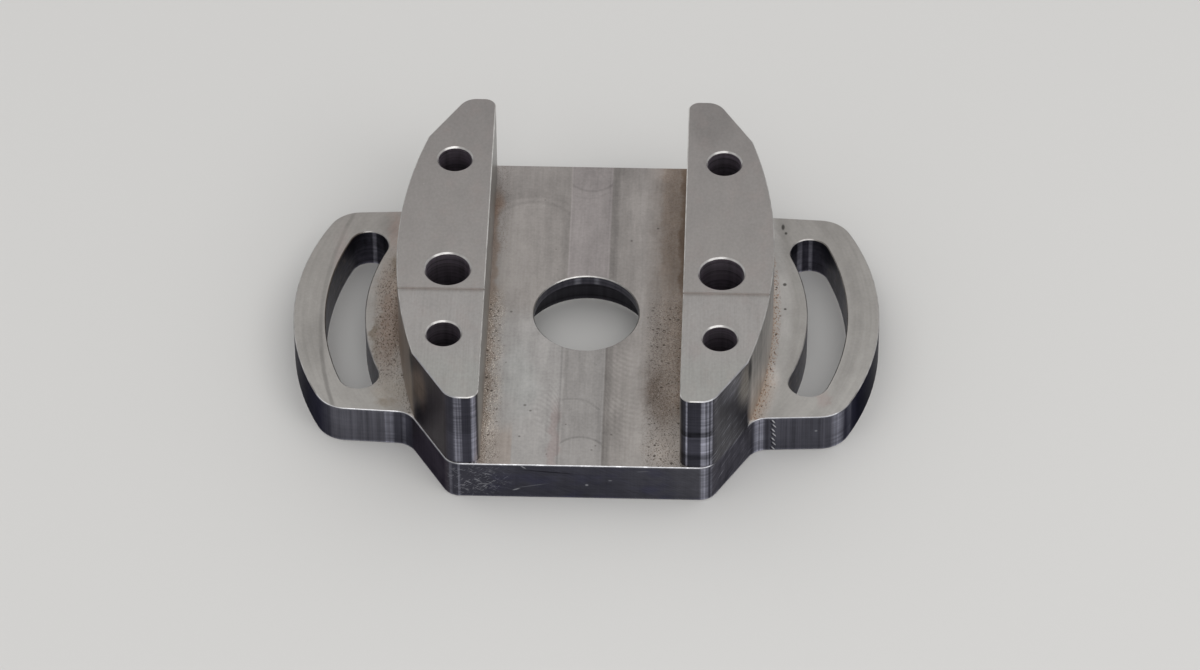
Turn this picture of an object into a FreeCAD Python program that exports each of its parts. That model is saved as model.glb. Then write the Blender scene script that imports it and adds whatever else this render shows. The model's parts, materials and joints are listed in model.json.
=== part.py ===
import FreeCAD, Part
import math
import os
from FreeCAD import Vector

# A slotted saddle bracket, milled from one block of aluminium: a flat base plate with an ear
# on each side, two tall walls with a channel between them, and a stepped bore in the middle.
# The origin is on the axis of the bore, in the plane of the underside.
# +X runs across the channel, +Y runs along it towards the back, and +Z is up.
# Lengths are in millimetres and angles in degrees.

# Base plate
PLATE_THICKNESS = 12.0
PLATE_LENGTH = 114.0  # from the front edge to the back edge
SHOULDER_ANGLE = 58.3  # slanting sides, from the front edge
END_CORNER_RADIUS = 5.0  # where a slanting side meets the front or back edge

# Curved slots, one through each ear, concentric with the bore
SLOT_PATH_RADIUS = 64.2
SLOT_WIDTH = 10.5
SLOT_HALF_SWEEP = 22.5  # from the X axis to the middle of a slot's round end

# Ears, as the material left round the slots
EAR_RIM_LAND = 8.55  # outside the middle of the slot
EAR_SIDE_LAND = 7.85  # beyond each end of the slot
EAR_RIM_RADIUS = 70.0
EAR_TAPER_ANGLE = 3.0  # each straight edge of an ear, from the X direction
EAR_CORNER_RADIUS = 9.0
EAR_ROOT_RADIUS = 6.0  # hollow corner between a slanting side and an ear

# Walls
CHANNEL_WIDTH = 52.0  # between the two inner faces
WALL_THICKNESS = 23.8  # at the bore's axis, where it is greatest
WALL_END_THICKNESS = 8.0  # at the front and back ends
WALL_HEIGHT = 24.5  # behind the step, above the plate
WALL_STEP_DROP = 0.5  # the tops in front of the step are this much lower
WALL_STEP_PLACE = 16.5  # from the bore's axis forward to the step
WALL_FACE_RADIUS = 140.0  # of the bowed outer face
WALL_INNER_CORNER_RADIUS = 3.0
WALL_OUTER_CORNER_RADIUS = 5.0
FRONT_LEDGE = 0.5  # the walls' front ends stand this far back from the plate's front edge
LEFT_LEDGE = 0.35  # the left wall's slanting front face, behind the plate's slanting side

# Stepped bore: a lip at the channel floor over a wider seat that opens downwards
BORE_DIAMETER = 28.0
SEAT_DIAMETER = 35.0
LIP_THICKNESS = 2.75

# Upright holes through the walls and the plate
HOLE_INSET = 10.0  # from a wall's inner face to the axes of its holes
BOLT_HOLE_DIAMETER = 9.0
BOLT_HOLE_SPACING = 66.0  # front pair to back pair
PIN_HOLE_DIAMETER = 11.8
PIN_HOLE_PLACE = 9.3  # from the bore's axis forward to the pair of wider holes

# Broken edges
EDGE_BREAK = 0.25  # chamfer on the plate, the wall tops and the slots
HOLE_EDGE_BREAK = 0.4  # chamfer at the mouths of the round holes

CUT_OVERRUN = 2.0  # how far a cutting body runs past the faces that it opens
MATCH_DISTANCE = 0.01  # two places closer than this count as one

plate_top = PLATE_THICKNESS
wall_top = PLATE_THICKNESS + WALL_HEIGHT
half_length = PLATE_LENGTH / 2
half_channel = CHANNEL_WIDTH / 2
half_flat = half_channel + WALL_END_THICKNESS  # straight stretch of the front and back edges
wall_reach = half_channel + WALL_THICKNESS
ear_reach = SLOT_PATH_RADIUS + SLOT_WIDTH / 2 + EAR_RIM_LAND
shoulder = math.radians(SHOULDER_ANGLE)
taper = math.radians(EAR_TAPER_ANGLE)
sweep = math.radians(SLOT_HALF_SWEEP)


def flat_face(start, steps, height):
    """Closed level face. A step (end,) is a straight side and a step (middle, end) is an arc."""
    edges = []
    first = Vector(start[0], start[1], height)
    here = first
    for step in steps:
        places = [Vector(x, y, height) for x, y in step]
        if len(places) == 1:
            edges.append(Part.makeLine(here, places[0]))
        else:
            edges.append(Part.Arc(here, places[0], places[1]).toShape())
        here = places[-1]
    if here.distanceToPoint(first) > MATCH_DISTANCE:
        edges.append(Part.makeLine(here, first))
    return Part.Face(Part.Wire(edges))


def meet_circle(start, angle, centre_x, radius):
    """Where a line from start, at angle from +X, leaves a circle centred on the X axis."""
    along_x = math.cos(angle)
    along_y = math.sin(angle)
    from_x = start[0] - centre_x
    from_y = start[1]
    nearest = from_x * along_x + from_y * along_y
    outside = from_x**2 + from_y**2 - radius**2
    run = -nearest + math.sqrt(nearest**2 - outside)
    return start[0] + run * along_x, start[1] + run * along_y


def upright_edges(solid, places):
    """Upright edges of a prism that stand at any of the places (x, y)."""
    found = []
    for edge in solid.Edges:
        low = edge.Vertexes[0].Point
        high = edge.Vertexes[-1].Point
        if math.hypot(high.x - low.x, high.y - low.y) > MATCH_DISTANCE:
            continue
        if min(math.hypot(low.x - x, low.y - y) for x, y in places) < MATCH_DISTANCE:
            found.append(edge)
    return found


def level_edges(solid, height):
    """Edges that lie in the level plane at that height."""
    found = []
    for edge in solid.Edges:
        box = edge.BoundBox
        if abs(box.ZMin - height) < MATCH_DISTANCE and abs(box.ZMax - height) < MATCH_DISTANCE:
            found.append(edge)
    return found


def four_ways(x, y):
    """The place (x, y) and its mirror images in the two middle planes."""
    return [(x, y), (-x, y), (-x, -y), (x, -y)]


def slot_cutter(side):
    """Curved slot as a prism: two arcs round the bore's axis, closed by two half circles."""
    half_width = SLOT_WIDTH / 2

    def place(radius, angle, onward=0.0):
        x = radius * math.cos(angle) - onward * math.sin(angle)
        y = radius * math.sin(angle) + onward * math.cos(angle)
        return side * x, y

    inner = SLOT_PATH_RADIUS - half_width
    outer = SLOT_PATH_RADIUS + half_width
    face = flat_face(
        place(inner, -sweep),
        [
            (place(SLOT_PATH_RADIUS, -sweep, -half_width), place(outer, -sweep)),
            (place(outer, 0.0), place(outer, sweep)),
            (place(SLOT_PATH_RADIUS, sweep, half_width), place(inner, sweep)),
            (place(inner, 0.0), place(inner, -sweep)),
        ],
        -CUT_OVERRUN,
    )
    return face.extrude(Vector(0, 0, plate_top + 2 * CUT_OVERRUN))


def ear_root():
    """Where the slanting side meets the ear's straight edge, which clears the slot's end."""
    end_x = SLOT_PATH_RADIUS * math.cos(sweep)
    end_y = SLOT_PATH_RADIUS * math.sin(sweep) + SLOT_WIDTH / 2 + EAR_SIDE_LAND
    drop = half_length - end_y + (half_flat - end_x) * math.tan(taper)
    run = drop / (math.sin(shoulder) - math.cos(shoulder) * math.tan(taper))
    return half_flat + run * math.cos(shoulder), half_length - run * math.sin(shoulder)


def base_plate():
    """Plate with its ears, rounded corners, curved slots and broken edges."""
    root_x, root_y = ear_root()
    rim_centre = ear_reach - EAR_RIM_RADIUS
    tip_x, tip_y = meet_circle((root_x, root_y), -taper, rim_centre, EAR_RIM_RADIUS)
    outline = flat_face(
        (half_flat, -half_length),
        [
            ((root_x, -root_y),),
            ((tip_x, -tip_y),),
            ((ear_reach, 0.0), (tip_x, tip_y)),
            ((root_x, root_y),),
            ((half_flat, half_length),),
            ((-half_flat, half_length),),
            ((-root_x, root_y),),
            ((-tip_x, tip_y),),
            ((-ear_reach, 0.0), (-tip_x, -tip_y)),
            ((-root_x, -root_y),),
            ((-half_flat, -half_length),),
        ],
        0.0,
    )
    plate = outline.extrude(Vector(0, 0, plate_top))
    for x, y, radius in (
        (half_flat, half_length, END_CORNER_RADIUS),
        (root_x, root_y, EAR_ROOT_RADIUS),
        (tip_x, tip_y, EAR_CORNER_RADIUS),
    ):
        plate = plate.makeFillet(radius, upright_edges(plate, four_ways(x, y)))
    for side in (-1, 1):
        plate = plate.cut(slot_cutter(side))
    rims = level_edges(plate, 0.0) + level_edges(plate, plate_top)
    return plate.makeChamfer(EDGE_BREAK, rims)


def wall_block(side, shoulder_ledge, top):
    """One wall as a prism with rounded ends, from inside the plate up to a level top."""
    face_centre = wall_reach - WALL_FACE_RADIUS
    front_y = -half_length + FRONT_LEDGE
    front_x = half_flat + FRONT_LEDGE / math.tan(shoulder) - shoulder_ledge / math.sin(shoulder)
    bow_front = meet_circle((front_x, front_y), shoulder, face_centre, WALL_FACE_RADIUS)
    bow_back = meet_circle((half_flat, half_length), -shoulder, face_centre, WALL_FACE_RADIUS)
    outer_ends = [(side * front_x, front_y), (side * half_flat, half_length)]
    inner_ends = [(side * half_channel, front_y), (side * half_channel, half_length)]
    foot = PLATE_THICKNESS / 2
    outline = flat_face(
        inner_ends[0],
        [
            (outer_ends[0],),
            ((side * bow_front[0], bow_front[1]),),
            ((side * wall_reach, 0.0), (side * bow_back[0], bow_back[1])),
            (outer_ends[1],),
            (inner_ends[1],),
        ],
        foot,
    )
    wall = outline.extrude(Vector(0, 0, top - foot))
    wall = wall.makeFillet(WALL_OUTER_CORNER_RADIUS, upright_edges(wall, outer_ends))
    wall = wall.makeFillet(WALL_INNER_CORNER_RADIUS, upright_edges(wall, inner_ends))
    return wall.makeChamfer(EDGE_BREAK, level_edges(wall, top))


def stepped_wall(side, shoulder_ledge):
    """One wall whose top drops by a small step towards the front."""
    room_x = 2 * ear_reach
    room_y = PLATE_LENGTH
    room_z = wall_top + CUT_OVERRUN
    corner = Vector(-room_x / 2, -room_y - WALL_STEP_PLACE, 0)
    ahead = Part.makeBox(room_x, room_y, room_z, corner)
    back = wall_block(side, shoulder_ledge, wall_top).cut(ahead)
    front = wall_block(side, shoulder_ledge, wall_top - WALL_STEP_DROP).common(ahead)
    return back.fuse(front)


def turned_cutter(outline, x, y):
    """Round cutting body: an outline of (radius, height) turned about the upright line at (x, y)."""
    places = [Vector(x + radius, y, height) for radius, height in outline]
    section = Part.Face(Part.makePolygon(places + places[:1]))
    return section.revolve(Vector(x, y, 0), Vector(0, 0, 1), 360)


def through_hole(x, y, diameter, top):
    """Round hole from the underside to a top face, flared at both mouths."""
    radius = diameter / 2
    flare = radius + HOLE_EDGE_BREAK + CUT_OVERRUN
    outline = [
        (0, -CUT_OVERRUN),
        (flare, -CUT_OVERRUN),
        (radius, HOLE_EDGE_BREAK),
        (radius, top - HOLE_EDGE_BREAK),
        (flare, top + CUT_OVERRUN),
        (0, top + CUT_OVERRUN),
    ]
    return turned_cutter(outline, x, y)


def stepped_bore():
    """Bore through the channel floor, with the wider seat below it and broken mouths."""
    bore = BORE_DIAMETER / 2
    seat = SEAT_DIAMETER / 2
    lip_bottom = plate_top - LIP_THICKNESS
    outline = [
        (0, -CUT_OVERRUN),
        (seat + HOLE_EDGE_BREAK + CUT_OVERRUN, -CUT_OVERRUN),
        (seat, HOLE_EDGE_BREAK),
        (seat, lip_bottom),
        (bore, lip_bottom),
        (bore, plate_top - EDGE_BREAK),
        (bore + EDGE_BREAK + CUT_OVERRUN, plate_top + CUT_OVERRUN),
        (0, plate_top + CUT_OVERRUN),
    ]
    return turned_cutter(outline, 0, 0)


def wall_holes():
    """Four bolt holes at the corners of a rectangle, and the pair of wider pin holes."""
    row = half_channel + HOLE_INSET
    half_bolts = BOLT_HOLE_SPACING / 2
    low_top = wall_top - WALL_STEP_DROP
    holes = []
    for side in (-1, 1):
        x = side * row
        for y, diameter in (
            (-half_bolts, BOLT_HOLE_DIAMETER),
            (-PIN_HOLE_PLACE, PIN_HOLE_DIAMETER),
            (half_bolts, BOLT_HOLE_DIAMETER),
        ):
            top = low_top if y < -WALL_STEP_PLACE else wall_top
            holes.append(through_hole(x, y, diameter, top))
    return holes


def saddle_bracket():
    """The whole bracket as one solid."""
    body = base_plate()
    for side, ledge in ((-1, LEFT_LEDGE), (1, 0.0)):
        body = body.fuse(stepped_wall(side, ledge))
    body = body.cut(stepped_bore())
    for hole in wall_holes():
        body = body.cut(hole)
    return body.removeSplitter().Solids[0]


os.makedirs("parts", exist_ok=True)
bracket = saddle_bracket()
bracket.exportStep("parts/saddle_bracket.step")
print("valid", bracket.isValid(), "faces", len(bracket.Faces), "volume", round(bracket.Volume))
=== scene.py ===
"""Looks of the slotted saddle bracket: its milled finishes, a plain floor, soft lamps, a camera."""

import functools
import json
import math

import bmesh
import bpy
import numpy as np
from mathutils import Matrix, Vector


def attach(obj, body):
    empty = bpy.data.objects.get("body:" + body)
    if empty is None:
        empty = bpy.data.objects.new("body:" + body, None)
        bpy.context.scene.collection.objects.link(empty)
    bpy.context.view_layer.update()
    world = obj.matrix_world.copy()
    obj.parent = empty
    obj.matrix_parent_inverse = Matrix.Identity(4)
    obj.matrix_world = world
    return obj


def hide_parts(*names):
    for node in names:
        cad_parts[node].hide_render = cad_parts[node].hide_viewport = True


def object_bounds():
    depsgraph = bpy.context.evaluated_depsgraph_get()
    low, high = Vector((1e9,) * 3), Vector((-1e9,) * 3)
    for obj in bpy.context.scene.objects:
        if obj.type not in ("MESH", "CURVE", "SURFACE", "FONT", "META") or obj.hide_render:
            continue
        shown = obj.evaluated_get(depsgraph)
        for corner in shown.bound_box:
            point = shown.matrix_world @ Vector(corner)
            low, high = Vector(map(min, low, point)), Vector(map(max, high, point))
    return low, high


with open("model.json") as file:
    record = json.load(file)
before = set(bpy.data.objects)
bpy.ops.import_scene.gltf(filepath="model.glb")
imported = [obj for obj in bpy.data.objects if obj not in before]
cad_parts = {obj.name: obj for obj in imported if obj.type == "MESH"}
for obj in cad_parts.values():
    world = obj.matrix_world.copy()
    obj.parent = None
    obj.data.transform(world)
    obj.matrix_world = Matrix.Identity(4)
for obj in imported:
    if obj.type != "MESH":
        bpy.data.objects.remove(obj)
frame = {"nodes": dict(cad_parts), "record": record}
cad_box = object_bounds()

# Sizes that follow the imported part, in millimetres. X runs across the channel, Y along it.
MM = 1000.0
mounts = {mount["name"]: mount for mount in frame["record"]["mounts"]}
PLATE_TOP = mounts["channel_floor"]["pos_m"][2] * MM
WALL_TOP = mounts["right_wall_top"]["pos_m"][2] * MM
HALF_CHANNEL = mounts["right_channel_face"]["pos_m"][0] * MM
SLOT_RADIUS = mounts["right_slot"]["pos_m"][0] * MM
SEAT_RADIUS = mounts["bearing_seat"]["dims"]["r_mm"]
HOLE_X = mounts["bolt_holes"]["dims"]["spacing_x_mm"] / 2
BOLT_Y = mounts["bolt_holes"]["dims"]["spacing_y_mm"] / 2
BOLT_RADIUS = mounts["bolt_holes"]["dims"]["hole_r_mm"]
PIN_Y = mounts["pin_holes"]["pos_m"][1] * MM
PIN_RADIUS = mounts["pin_holes"]["dims"]["hole_r_mm"]
FRONT = cad_box[0].y * MM
BACK = cad_box[1].y * MM

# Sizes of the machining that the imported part's mounts don't state
SLOT_HALF_WIDTH = 5.25
SLOT_HALF_ANGLE = math.radians(27.5)
STEP_Y = -16.5
STEP_DEPTH = 0.5
SHOULDER_ANGLE = math.radians(58.3)
HALF_FLAT = 34.0
WALL_REACH = 49.8
WALL_FACE_RADIUS = 140.0

# Where kinds of upright face begin: each is further forward than its Y, or further out than its X
PLATE_FRONT_Y = -56.5
SHOULDERS_Y = -39.5
EAR_FRONTS_Y = -36.0
RIGHT_SHOULDER_X = 33.5
LEFT_SHOULDER_X = -33.0

# Scales of the patterns, in millimetres. Cutter lines are really about 0.1 apart, feed marks are
# 0.4 apart, and grit and the tooth of a milled face are finer still: all are drawn coarser to show.
CUTTER_LINE = 0.45
FEED_PITCH = 1.9
CUTTER_RADIUS = 10.6

# Reaches: so tall that a pattern doesn't change with depth, right through the bracket, up and down
# from the plate's top, and the centre, reach and fade that take in the channel's whole length
TALL = 50.0
THROUGH = 900.0
SPOT_HEIGHT = 20.0
WHOLE = (0.0, 60.0, 1.0)
LEVEL_GRAIN = (0.8, 0.8, TALL)

# Painted highlight bands of an upright face stand round this height and reach this deep into it
BAND_HEIGHT = 18.0
BAND_DEPTH = 5.0

# Nicks from chatter on the front of the right ear: how many, their pitch and where the lowest is
NICKS = 7
NICK_PITCH = 1.65
LOWEST_NICK = (50.3, -38.0, 0.9)

# How the surface's faces are joined: a distance in metres and an angle
MERGE_DISTANCE = 1e-6
SHARP_ANGLE = math.radians(30.0)

# How its faces are told apart: shares of their normal, then small lengths in millimetres
UPRIGHT = 0.1
LEVEL = 0.9
CLEARANCE = 0.02
NEARLY = 0.1
MARGIN = 1.0

# Studio, in metres and degrees: each lamp has a name, an azimuth and an elevation
FLOOR_SIZE = 8.0
FLOOR_GREY = "#cbcac8"
FLOOR_GAP = 0.0001
TOUCHING = 0.001
WORLD_STRENGTH = 0.88
LAMPS = (("front", 5.0, 50.0), ("side", 48.0, 42.0))
LAMP_DISTANCE = 1.6
LAMP_SIZE = 0.8
LAMP_POWER = 3.6
CAMERA_LENS = 195.57
CAMERA_TARGET = (0.003453, 0.003885, 0.0)
CAMERA_DISTANCE = 1.747
CAMERA_AZIMUTH = 2.06
CAMERA_ELEVATION = 44.59
CAMERA_ROLL = -0.40


def linear(code):
    """An sRGB hex colour as linear red, green, blue and alpha."""
    parts = [int(code[i : i + 2], 16) / 255 for i in (1, 3, 5)]
    return (*(p / 12.92 if p <= 0.04045 else ((p + 0.055) / 1.055) ** 2.4 for p in parts), 1.0)


def add(tree, kind, values=(), **settings):
    """Adds a shader node: settings are its properties and values fill its inputs, in order or by name."""
    node = tree.nodes.new("ShaderNode" + kind)
    for name, value in settings.items():
        setattr(node, name, value)
    if isinstance(values, dict):
        pairs = [(node.inputs[name], value) for name, value in values.items()]
    else:
        pairs = zip([socket for socket in node.inputs if socket.enabled], values)
    for socket, value in pairs:
        if isinstance(value, bpy.types.NodeSocket):
            tree.links.new(value, socket)
        else:
            socket.default_value = value
    return next((socket for socket in node.outputs if socket.enabled), None)


def start_material(name):
    """A material with no nodes, the function that adds them, and the place in millimetres."""
    material = bpy.data.materials.new(name)
    material.use_nodes = True
    material.node_tree.nodes.clear()
    put = functools.partial(add, material.node_tree)
    objects = put("TexCoord").node.outputs["Object"]
    return material, put, put("VectorMath", (objects, MM), operation="SCALE")


def finish_metal(put, colour, roughness, relief, depth, grazing="#ffffff"):
    """Bare metal whose cutter marks are depth (mm) from their lowest to their highest."""
    bump = put("Bump", {"Height": relief, "Distance": depth / MM})
    values = {"Base Color": colour, "Metallic": 1.0, "Roughness": roughness, "Normal": bump}
    values["Specular Tint"] = linear(grazing)
    put("OutputMaterial", {"Surface": put("BsdfPrincipled", values)})


# Patterns. Each is a mask from 0 to 1, or a tone from -1 to 1, at a place in millimetres.


def near(put, value, centre, reach, fade):
    """Mask: 1 within reach of centre, falling to 0 over the next fade."""
    away = put("Math", (value, centre), operation="SUBTRACT")
    away = put("Math", (away,), operation="ABSOLUTE")
    limits = (reach, reach + fade, 1.0, 0.0)
    return put("MapRange", (away, *limits), interpolation_type="SMOOTHSTEP")


def above(put, value, edge, fade):
    """Mask: 0 up to edge, rising to 1 over the fade above it."""
    return put("MapRange", (value, edge, edge + fade, 0.0, 1.0), interpolation_type="SMOOTHSTEP")


def below(put, value, edge, fade):
    """Mask: 0 down to edge, rising to 1 over the fade below it."""
    return put("MapRange", (value, edge - fade, edge, 1.0, 0.0), interpolation_type="SMOOTHSTEP")


def both(put, *masks):
    """Mask: the product of the masks, so it is 1 where all are."""
    return functools.reduce(lambda a, b: put("Math", (a, b), operation="MULTIPLY"), masks)


def either(put, *masks):
    """Mask: the greatest of the masks."""
    return functools.reduce(lambda a, b: put("Math", (a, b), operation="MAXIMUM"), masks)


def patch(put, place, centre, radii, fade=0.6):
    """Mask: 1 inside an ellipsoid, falling to 0 at its surface over the outer share fade."""
    away = put("VectorMath", (place, centre), operation="SUBTRACT")
    away = put("VectorMath", (away, radii), operation="DIVIDE")
    away = put("VectorMath", (away,), operation="LENGTH")
    return put("MapRange", (away, 1.0 - fade, 1.0, 1.0, 0.0), interpolation_type="SMOOTHSTEP")


def spot(put, place, centre, radii, fade=0.6):
    """Mask: a patch on the top of the plate, with its centre and radii along X and Y."""
    return patch(put, place, (*centre, PLATE_TOP), (*radii, SPOT_HEIGHT), fade)


def band(put, place, across, along):
    """Mask: a stretch of X and a stretch of Y, each given by its centre, its reach and its fade."""
    x, y, _ = put("SeparateXYZ", (place,)).node.outputs
    return both(put, near(put, x, *across), near(put, y, *along))


def mottle(put, place, sizes, seed=0.0, detail=2.0):
    """Tone: random blots that measure sizes along X, Y and Z."""
    place = put("VectorMath", (place, sizes), operation="DIVIDE")
    noise = put("TexNoise", (place, seed, 1.0, detail, 0.55), noise_dimensions="4D")
    return put("MapRange", (noise, 0.3, 0.7, -1.0, 1.0))


def specks(put, place, spacing, size):
    """Mask: round specks up to size across, one in each cell of about spacing, most of them small."""
    cells = put("TexVoronoi", (place, 1.0 / spacing)).node.outputs
    share = put("SeparateXYZ", (cells["Color"],))
    limit = put("Math", (share, size / 2 / spacing), operation="MULTIPLY")
    ratio = put("Math", (cells["Distance"], limit), operation="DIVIDE")
    return put("MapRange", (ratio, 0.6, 1.1, 1.0, 0.0))


def arc(put, place, centre, radius, reach, fade):
    """Mask: a line along the upright cylinder of that radius round centre."""
    flat = put("VectorMath", (place, (1.0, 1.0, 0.0)), operation="MULTIPLY")
    away = put("VectorMath", (flat, (*centre, 0.0)), operation="DISTANCE")
    return near(put, away, radius, reach, fade)


def feed_marks(put, place, centre_x, radius, pitch, ahead):
    """Tone: the arc of the cutter's rim, y = c + ahead * sqrt(radius^2 - (x - centre_x)^2), each pitch."""
    x, y, _ = put("SeparateXYZ", (place,)).node.outputs
    across = put("Math", (x, centre_x), operation="SUBTRACT")
    square = put("Math", (across, across), operation="MULTIPLY")
    square = put("Math", (radius**2, square), operation="SUBTRACT")
    square = put("Math", (square, 0.0), operation="MAXIMUM")
    along = put("Math", (square, 0.5), operation="POWER")
    phase = put("Math", (along, -ahead, y), operation="MULTIPLY_ADD")
    phase = put("Math", (phase, 2 * math.pi / pitch), operation="MULTIPLY")
    return put("Math", (phase,), operation="SINE")


def wobbled(put, place, size, amount):
    """The place shifted at random by up to about amount, so that a patch gets a ragged outline."""
    scaled = put("VectorMath", (place, (size, size, size)), operation="DIVIDE")
    noise = put("TexNoise", (scaled, 1.0, 3.0, 0.6)).node.outputs["Color"]
    noise = put("VectorMath", (noise, (0.5, 0.5, 0.5)), operation="SUBTRACT")
    shift = put("VectorMath", (noise, 4 * amount), operation="SCALE")
    return put("VectorMath", (place, shift), operation="ADD")


def leaning(put, place, degrees):
    """The place turned about Y, for marks that slant across the front."""
    turn = {"rotation_type": "AXIS_ANGLE"}
    return put("VectorRotate", (place, (0, 0, 0), (0, 1, 0), math.radians(degrees)), **turn)


def raised(put, tone, *steps):
    """The tone raised by each step's amount where its mask is 1."""
    for mask, amount in steps:
        tone = put("Math", (mask, amount, tone), operation="MULTIPLY_ADD")
    return tone


def stained(put, colour, *stains):
    """The colour turned towards each stain's own, by its strength, where its mask is 1."""
    for mask, code, strength in stains:
        share = put("Math", (mask, strength), operation="MULTIPLY")
        colour = put("Mix", (share, colour, linear(code)), data_type="RGBA")
    return colour


def toned(put, colour, tone):
    """The colour made lighter or darker by a tone, where 0 leaves it."""
    gain = put("Math", (tone, 1.0), operation="ADD")
    return put("VectorMath", (colour, gain), operation="SCALE")


# Tops of the walls


def face_milled_wall_top():
    """Face-milled aluminium: dull warm grey with fine cutter lines along the channel, and painted shade
    that darkens it towards the back.
    """
    material, put, place = start_material("face_milled_wall_top")
    _, y, z = put("SeparateXYZ", (place,)).node.outputs
    ahead = below(put, y, STEP_Y, 0.1)
    lines = mottle(put, place, (CUTTER_LINE, 16.0, TALL), 1.0)
    tone = raised(
        put,
        0.0,
        (mottle(put, place, (5.0, 10.0, TALL), 2.0, 3.0), 0.04),
        (mottle(put, place, (0.7, 0.9, TALL), 3.0, 1.0), 0.045),
        (patch(put, place, (32.0, 50.0, WALL_TOP), (9.0, 14.0, 9.0)), -0.1),
        (both(put, lines, ahead), 0.035),
        (lines, 0.025),
        # Painted shade: a dark line in front of the step; the step's own upright face is made lighter
        (near(put, y, STEP_Y - 0.4, 0.2, 0.6), -0.10),
        (near(put, z, WALL_TOP - STEP_DEPTH / 2, 0.15, 0.09), 0.8),
        (specks(put, place, 6.0, 0.9), 0.16),
    )
    colour = stained(
        put,
        linear("#a09c99"),
        # Painted shade: the tops darker towards the back
        (put("MapRange", (y, FRONT, BACK, 0.0, 1.0)), "#8b8785", 1.0),
        (ahead, "#a09d9b", 0.7),
        (below(put, y, -36.0, 10.0), "#a0a09c", 0.6),
        (mottle(put, place, (4.0, 6.0, TALL), 4.0), "#a3938f", 0.12),
    )
    roughness = put("MapRange", (lines, -1.0, 1.0, 0.36, 0.46))
    finish_metal(put, toned(put, colour, tone), roughness, lines, 0.004)
    return material


# Floor of the channel: two wide passes with a narrower one between them


def channel_passes(put, place):
    """Masks: the left pass, the middle one and the right one."""
    x = put("SeparateXYZ", (place,))
    return below(put, x, -5.3, 0.3), near(put, x, 0.1, 5.4, 0.25), above(put, x, 5.5, 0.3)


def floor_colour(put, place):
    """Each pass's own grey, with painted shade that makes it duller towards the back, and a pale cloud at
    the left.
    """
    _, y, _ = put("SeparateXYZ", (place,)).node.outputs
    left_pass, middle_pass, _ = channel_passes(put, place)
    front_half = below(put, y, 4.0, 10.0)
    pale = spot(put, wobbled(put, place, 9.0, 2.5), (-16.5, -25.0), (6.5, 20.0), 0.7)
    return stained(
        put,
        linear("#a39e9a"),
        # Painted shade: duller towards the back
        (put("MapRange", (y, FRONT, BACK, 0.0, 1.0)), "#928d8a", 1.0),
        (both(put, left_pass, front_half), "#b0adab", 0.85),
        (both(put, middle_pass, above(put, y, -4.0, 10.0)), "#979190", 0.85),
        (both(put, middle_pass, front_half), "#9b9896", 0.8),
        (pale, "#b3b5b3", 0.4),
    )


def floor_tone(put, place, blots):
    """Light and dark lanes: dull beside the middle pass, bright along its edges and mid-pass."""
    _, middle_pass, _ = channel_passes(put, place)
    tone = raised(
        put,
        0.0,
        (blots, 0.08),
        (mottle(put, place, (0.6, 13.0, TALL), 2.0), 0.045),
        (mottle(put, place, (1.8, 20.0, TALL), 11.0), 0.04),
        (mottle(put, place, LEVEL_GRAIN, 3.0), 0.06),
        (mottle(put, place, (9.0, 0.7, TALL), 7.0, 1.0), 0.015),
        (both(put, middle_pass, band(put, place, (-4.0, 1.0, 3.0), (25.0, 12.0, 8.0))), 0.08),
    )
    for amount, across, along in (
        (-0.07, (-7.2, 0.9, 2.6), WHOLE),
        (0.11, (-16.5, 3.5, 3.5), (22.0, 16.0, 10.0)),
        (0.14, (-21.5, 2.0, 3.5), (24.0, 10.0, 12.0)),
        (0.12, (-8.8, 0.6, 1.8), (24.0, 8.0, 8.0)),
        (0.09, (-35.0, 29.4, 0.3), (60.0, 5.0, 5.0)),
        (-0.10, (11.0, 3.0, 2.5), (60.0, 6.0, 4.0)),
        (0.06, (-30.0, 7.0, 4.0), (-10.0, 38.0, 12.0)),
        (-0.09, (8.2, 2.0, 3.5), WHOLE),
        (0.05, (13.0, 2.5, 4.0), WHOLE),
        (-0.07, (-11.0, 0.6, 1.8), (36.0, 18.0, 6.0)),
        (0.13, (23.0, 1.6, 2.6), (-12.0, 18.0, 10.0)),
        (0.13, (-5.35, 0.1, 0.3), WHOLE),
        (0.14, (5.4, 0.12, 0.3), WHOLE),
        (-0.16, (6.4, 0.4, 1.3), WHOLE),
        (-0.12, (5.85, 0.1, 0.35), (-60.0, 54.0, 10.0)),
        (-0.17, (-5.85, 0.12, 0.5), (-60.0, 54.0, 10.0)),
        (-0.08, (0.1, 5.4, 0.25), (60.0, 10.0, 4.0)),
    ):
        tone = raised(put, tone, (band(put, place, across, along), amount))
    for amount, centre, radii in (
        (0.08, (12.5, 42.0), (5.5, 9.0)),
        (-0.13, (9.0, -43.0), (3.4, 11.0)),
        (0.2, (-24.0, -43.0), (3.6, 7.0)),
        (0.12, (20.0, -51.0), (5.0, 7.0)),
        (0.22, (18.5, 56.0), (4.5, 7.0)),
    ):
        tone = raised(put, tone, (spot(put, place, centre, radii, 0.8), amount))
    return tone


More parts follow.
